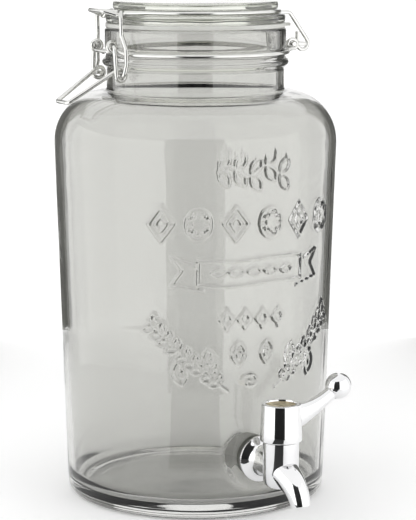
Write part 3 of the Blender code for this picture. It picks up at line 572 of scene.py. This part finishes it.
def coil(axis, side_start, side_end, radius, start, sweep, steps=36):
    """A coil about a level line, as (out, side, height)."""
    share = np.linspace(0, 1, steps + 1)
    angle = start + sweep * share
    return np.stack([axis[0] + radius * np.cos(angle),
                     side_start + (side_end - side_start) * share,
                     axis[1] + radius * np.sin(angle)], 1)


def level(radius, height, start, end, count=60):
    """A level arc round the jar, as (out, side, height)."""
    angles = np.linspace(start, end, count)
    return np.stack([radius * np.cos(angles), radius * np.sin(angles),
                     np.full(count, height)], 1)


def other(points):
    """The same route on the other side, in reverse order."""
    return points[::-1] * (1, -1, 1)


def tube(points, radius, sides=14, loop=False):
    """A round tube along a route; its first side is carried along without twist."""
    points = np.asarray(points, float)
    keep = np.linalg.norm(np.diff(points, axis=0, prepend=points[:1] - 1), axis=1) > 1e-3
    points = points[keep]
    if loop:
        ahead, behind = np.roll(points, -1, 0), np.roll(points, 1, 0)
    else:
        ahead = np.concatenate([points[1:], points[-1:]])
        behind = np.concatenate([points[:1], points[:-1]])
    run = ahead - behind
    run /= np.linalg.norm(run, axis=1)[:, None]
    side = np.cross(run[0], (0.1, 0.2, 1.0))
    angles = np.linspace(0, 2 * math.pi, sides, endpoint=False)
    sides_along = []
    for way in run:
        side = side - way * (side @ way)
        side /= np.linalg.norm(side)
        sides_along.append(side)
    across = np.array(sides_along)
    if loop:
        last = across[-1] - run[0] * (across[-1] @ run[0])
        slip = math.atan2(np.cross(last, across[0]) @ run[0], last @ across[0])
        turn = slip * np.arange(len(run)) / len(run)
        up = np.cross(run, across)
        across = across * np.cos(turn)[:, None] + up * np.sin(turn)[:, None]
    up = np.cross(run, across)
    grid = points[:, None] + radius * (across[:, None] * np.cos(angles)[None, :, None]
                                       + up[:, None] * np.sin(angles)[None, :, None])
    grid = grid * MM
    if loop:
        rows = len(grid)
        faces = ring_faces(rows + 1, sides) % (rows * sides)
        return grid.reshape(-1, 3), faces.tolist()
    return closed(grid)


def placed(points):
    """Puts (out, side, height) points at the toggle's side of the jar."""
    return points * (-1, -1, 1)


def eye_route(axis, side, ring_side, bar_out):
    """The neck wire from its ring through one eye to the middle of the bar beyond."""
    low = axis[1] - EYE
    half = EYE / 2
    turn = coil(axis, side + half, side - half, EYE, -math.pi / 2, 2 * math.pi)
    lead = [(math.sqrt(RING ** 2 - ring_side ** 2), ring_side, RING_Z),
            (axis[0] - 2.8, side + half + 1.2, low), turn[0]]
    tail = [turn[-1], (bar_out, side - half - 0.6, low), (bar_out, 0, low)]
    return np.concatenate([bent(lead, 2.0)[:-1], turn, bent(tail, 1.5)[1:]])


def neck_ring_route():
    """The whole neck wire, which closes on itself."""
    fore = eye_route(FRONT_AXIS, 12.6, 20.5, FRONT_AXIS[0] + 1.6)
    rear = eye_route(REAR_AXIS, 9.5, 16.5, REAR_AXIS[0] + 1.6) * (-1, 1, 1)
    around = level(RING, RING_Z, math.asin(20.5 / RING) + 0.06,
                   math.pi - math.asin(16.5 / RING) - 0.06)
    near = np.concatenate([fore[::-1], around, rear])
    return np.concatenate([near, other(near)[1:-1]])


def staple_route():
    """The hinge staple, a U whose cross bar is the hinge pin."""
    end = 9.5 + EYE
    near = np.array([(-REAR_AXIS[0], end, REAR_AXIS[1]), (-REAR_AXIS[0], 5.8, REAR_AXIS[1]),
                     (-HINGE_AXIS[0], 5.8, HINGE_AXIS[1])])
    return bent(np.concatenate([near, other(near)]), 1.8)


def lever_route():
    """The lever: two pivot ends, two coils and the handle's loop."""
    half = EYE / 2
    outer, inner = 18.25 + half, 18.25 - half
    out, rise = COIL_AXIS[0] - 66.0, COIL_AXIS[1] - 258.0
    droop = math.atan2(rise, out) - math.pi + math.asin(44.8 / math.hypot(out, rise))
    ends = bent([(FRONT_AXIS[0], 8.6, FRONT_AXIS[1]), (FRONT_AXIS[0], 17.55, FRONT_AXIS[1]),
                 (COIL_AXIS[0] + COIL, outer, COIL_AXIS[1])], 1.8)
    turns = coil(COIL_AXIS, outer, inner, COIL, 0, droop - 1.5 * math.pi)
    tip = (COIL_AXIS[0] + 40.7 * math.cos(droop), COIL_AXIS[1] + 40.7 * math.sin(droop))
    handle = bent([turns[-1], (tip[0], 9.5, tip[1]), (tip[0], 0, tip[1])], 2.5)
    near = np.concatenate([ends[:-1], turns, handle[1:]])
    return np.concatenate([near, other(near)[1:]])


def bail_route():
    """The bail: two ends in the coils, two bowed arms and the nose bar over the lid."""
    bow = math.sqrt((RING + 3.7) ** 2 - 24.3 ** 2)
    top, height = BAIL_TOP
    near = bent([
        (COIL_AXIS[0], 13.75, COIL_AXIS[1]), (COIL_AXIS[0], 24.3, COIL_AXIS[1]),
        (bow, 24.3, COIL_AXIS[1] + 8), (bow + 0.4, 24.3, RING_Z + 4),
        (top - 0.4, 20.1, RING_Z + 13.5), (top, 20.1, height), (top, 14.5, height),
        (top + 9.8, 11.0, height + 3.1), (top + 9.8, 0, height + 3.1)], 1.8)
    return np.concatenate([near, other(near)[1:]])


def lid_ring_route():
    """The lid's ring with its two ears under the bail and its hook round the hinge pin."""
    lean = math.radians(27)
    ear = (BAIL_TOP[0] - 3.4 * math.cos(lean), BAIL_TOP[1] - 3.4 * math.sin(lean))
    fore = bent([(math.sqrt(LID_RING ** 2 - 26.5 ** 2), 26.5, LID_RING_Z),
                 (ear[0] - 0.6, 19.3, LID_RING_Z), (ear[0], 17.8, ear[1]),
                 (ear[0], 14.0, ear[1]), (ear[0] - 0.6, 12.5, LID_RING_Z),
                 (math.sqrt(LID_RING ** 2 - 16), 4.0, LID_RING_Z)], 1.2)
    around = level(LID_RING, LID_RING_Z, math.asin(26.5 / LID_RING) + 0.05, math.pi - 0.09)
    hook = coil(HINGE_AXIS, 0, 0, 4.4, math.pi, math.pi, 20)
    arm = bent([(LID_RING, -3.6, LID_RING_Z), (LID_RING + 1.5, 0, LID_RING_Z),
                (FLANGE / MM + 4.0, 0, 348.4), (HINGE_AXIS[0] - 11.1, 0, 348.1),
                (HINGE_AXIS[0] + 4.4, 0, HINGE_AXIS[1] + 2.0), hook[-1]], 3.5)
    stub = np.array([(HINGE_AXIS[0] - 4.4, 0, HINGE_AXIS[1] + 9.0)])
    tail = np.concatenate([stub, hook[:-1], arm[::-1]]) * (-1, 1, 1)
    return np.concatenate([tail, other(around), fore * (1, -1, 1), fore[::-1], around])


bright_wire, wire_tree, wire_shader = finish(
    "bright_wire", lambda tree: tint(tree, noise(tree, 90.0), (0.66, 0.66, 0.64),
                                     (0.78, 0.78, 0.76)),
    lambda tree: noise(tree, 300.0) * 0.12 + 0.08, Metallic=1.0)
bump(wire_tree, wire_shader, noise(wire_tree, 900.0), 0.00003)
for name, route, loop, body, node in (
        ("neck_ring", neck_ring_route(), True, "jar", "neck_wire"),
        ("staple", staple_route(), False, "jar", "hinge_staple"),
        ("toggle_lever", lever_route(), False, "lever", "closing_lever"),
        ("bail_wire", bail_route(), False, "bail", "latch_bail"),
        ("lid_ring", lid_ring_route(), False, "lid", "lid_wire")):
    wire_piece = make_piece(name, *tube(placed(route), WIRE, loop=loop), bright_wire, body,
                            node)

# The tap. Chromed plastic: a rose against the jar, a neck, an upright barrel with a
# hanging spout, and a turning handle with a swept arm, a knob and a brass-foil disc.
VALVE_Y = -128.709 * MM


def sections(centers, across, along, wide, tall, count=40):
    """Rings of ellipses: each has a centre, two directions and two half sizes."""
    angles = np.linspace(0, 2 * math.pi, count, endpoint=False)
    return (centers[:, None] + across[:, None] * (wide[:, None] * np.cos(angles))[..., None]
            + along[:, None] * (tall[:, None] * np.sin(angles))[..., None])


def spout_line(share):
    """Points and directions of the spout's centre line, a parabola out of the barrel."""
    share = np.asarray(share, float)[:, None]
    start = np.array([(0.0, TAP_Z - 1.0 * MM)])
    bend = np.array([(22.96 * MM, TAP_Z - 5.5 * MM)])
    end = np.array([(28.0 * MM, TAP_Z - 20.5 * MM)])
    place = (1 - share) ** 2 * start + 2 * (1 - share) * share * bend + share ** 2 * end
    run = (1 - share) * (bend - start) + share * (end - bend)
    run /= np.linalg.norm(run, axis=1)[:, None]
    zero = np.zeros(len(share))
    centers = np.stack([zero, VALVE_Y - place[:, 0], place[:, 1]], 1)
    return centers, np.stack([zero, run[:, 1], run[:, 0]], 1)


def spout_grid():
    """The spout's outside from the barrel to its lip, then back up its bore."""
    share = np.concatenate([np.linspace(0, 1, 30), [1, 1], np.linspace(0.99, 0.55, 8)])
    radius = 11.15 - 4.55 * np.linspace(0, 1, 30) ** 0.8
    radius = np.concatenate([radius, [6.1, 4.5], np.full(8, 4.1)]) * MM
    radius[29] -= 0.1 * MM
    centers, along = spout_line(share)
    across = np.repeat([(1.0, 0, 0)], len(share), 0)
    return sections(centers, across, along, radius, radius)


rose_profile = np.array([
    (0, 71.0), (6.9, 71.0), (7.7, 72.0), (7.7, 98.8), (15.7, 98.82), (16.3, 99.3),
    (16.5, 100.2), (16.2, 101.2), (14.6, 102.4), (13.8, 102.7), (13.2, 103.2), (11.9, 103.8),
    (10.9, 105.4), (10.1, 107.6), (9.7, 110.0), (9.3, 116.0), (9.2, 126.0), (0, 126.0)]) * MM
barrel_profile = np.concatenate([
    line((0, 30.1 * MM), (6.0 * MM, 30.6 * MM), 2),
    arc((6.0 * MM, 36.8 * MM), 6.2 * MM, -85, -8, 9),
    line((12.3 * MM, 39.5 * MM), (12.35 * MM, 41.5 * MM), 2),
    line((12.35 * MM, 42 * MM), (12.35 * MM, 62.9 * MM), 4),
    line((12.1 * MM, 63.25 * MM), (8.3 * MM, 63.3 * MM), 2),
    line((8.25 * MM, 62.9 * MM), (8.2 * MM, 45 * MM), 3),
    line((8 * MM, 44.8 * MM), (0, 44.8 * MM), 2)])
chrome, chrome_tree, chrome_shader = finish(
    "chromed_plastic", lambda tree: tint(tree, noise(tree, 40.0), (0.80, 0.80, 0.81),
                                         (0.86, 0.86, 0.86)),
    lambda tree: noise(tree, 120.0) * 0.05 + 0.015, Metallic=1.0)
bump(chrome_tree, chrome_shader, noise(chrome_tree, 60.0, 1.0), 0.0001)
tap = make_piece("tap_casting", *joined(
    closed(lathe(rose_profile, 72, (0, 0, TAP_Z), "Y")),
    closed(lathe(barrel_profile, 72, (0, VALVE_Y, 0))), closed(spout_grid())),
    chrome, "jar", "tap_body", smooth_angle=35)

CONE_LOW = 63.6 * MM
CONE_TOP = 89.4 * MM
cone_profile = np.concatenate([
    line((0, CONE_LOW + 0.05 * MM), (13.9 * MM, CONE_LOW), 3),
    arc((13.8 * MM, CONE_LOW + 0.6 * MM), 0.6 * MM, -80, 0, 5),
    line((14.36 * MM, CONE_LOW + 2 * MM), (13.5 * MM, CONE_TOP - 1 * MM), 8),
    arc((12.8 * MM, CONE_TOP - 0.7 * MM), 0.7 * MM, 5, 90, 6),
    line((12 * MM, CONE_TOP), (10.7 * MM, CONE_TOP), 2),
    line((10.3 * MM, CONE_TOP - 0.3 * MM), (10.3 * MM, CONE_TOP - 2.9 * MM), 3),
    line((9 * MM, CONE_TOP - 3 * MM), (0, CONE_TOP - 3 * MM), 2)])


def arm_grid():
    """The swept arm: flat ellipses from the cone's side up to the knob."""
    share = np.linspace(0, 1, 24)
    lean = np.radians(12 + 34 * share)
    zero = np.zeros(24)
    centers = np.stack([12.5 + 32.5 * share, zero, 79.4 + 17.3 * share ** 1.35], 1) * MM
    centers[:, 1] = VALVE_Y
    tall = (8.5 - 3.8 * np.sin(math.pi * np.minimum(share * 0.62, 0.5))) * MM
    return sections(centers, np.repeat([(0, 1.0, 0)], 24, 0),
                    np.stack([-np.sin(lean), zero, np.cos(lean)], 1),
                    (5.6 - 0.8 * share) * MM, tall)


steps = np.linspace(-90, 90, 33)
knob_profile = np.stack([9.2 * np.cos(np.radians(steps)),
                         96.9 + 9.2 * np.sin(np.radians(steps))], 1) * MM
handle = make_piece("tap_lever", *joined(
    closed(lathe(cone_profile, 96, (0, VALVE_Y, 0))), closed(arm_grid()),
    closed(lathe(knob_profile, 48, (45 * MM, VALVE_Y, 0)))),
    chrome, "tap_valve", "tap_handle", smooth_angle=35)

disc_profile = np.array([(0, 86.6), (10.0, 86.6), (10.0, 88.2), (9.6, 88.55), (9.0, 88.6),
                         (8.4, 88.35), (7.9, 88.3), (0, 88.3)]) * MM
brass, brass_tree, brass_shader = finish(
    "brass_foil", lambda tree: tint(tree, noise(tree, 260.0, 2.0), (0.30, 0.23, 0.12),
                                    (0.87, 0.76, 0.52)),
    lambda tree: noise(tree, 500.0) * 0.2 + 0.25, Metallic=1.0)
bump(brass_tree, brass_shader, noise(brass_tree, 500.0, 1.0), 0.0003)
disc = make_piece("foil_disc", *closed(lathe(disc_profile, 64, (0, VALVE_Y, 0))), brass,
                  "tap_valve", "handle_cap_disc")

# The tap's hidden pieces. A white nut and pale rubber washers clamp it through the wall;
# a white plug with two black rings turns in the barrel under a small steel screw.
for label, nodes, low, high, roughness, metal in (
        ("white_plastic", ("back_nut", "valve_plug"), (0.78, 0.78, 0.75),
         (0.86, 0.86, 0.84), 0.4, 0.0),
        ("seal_rubber", ("front_seal_washer", "rear_seal_washer"), (0.66, 0.67, 0.64),
         (0.78, 0.78, 0.75), 0.6, 0.0),
        ("ring_rubber", ("plug_o_ring_lower", "plug_o_ring_upper"), (0.03, 0.03, 0.03),
         (0.07, 0.07, 0.07), 0.6, 0.0),
        ("screw_steel", ("handle_screw",), (0.50, 0.50, 0.50), (0.65, 0.65, 0.64), 0.3, 1.0)):
    coating, tree, shader = finish(
        label, lambda tree: tint(tree, noise(tree, 150.0), low, high),
        lambda tree: noise(tree, 400.0) * 0.15 + roughness, Metallic=metal)
    bump(tree, shader, noise(tree, 800.0), 0.00004)
    for node in nodes:
        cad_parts[node].data.materials.clear()
        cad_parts[node].data.materials.append(coating)
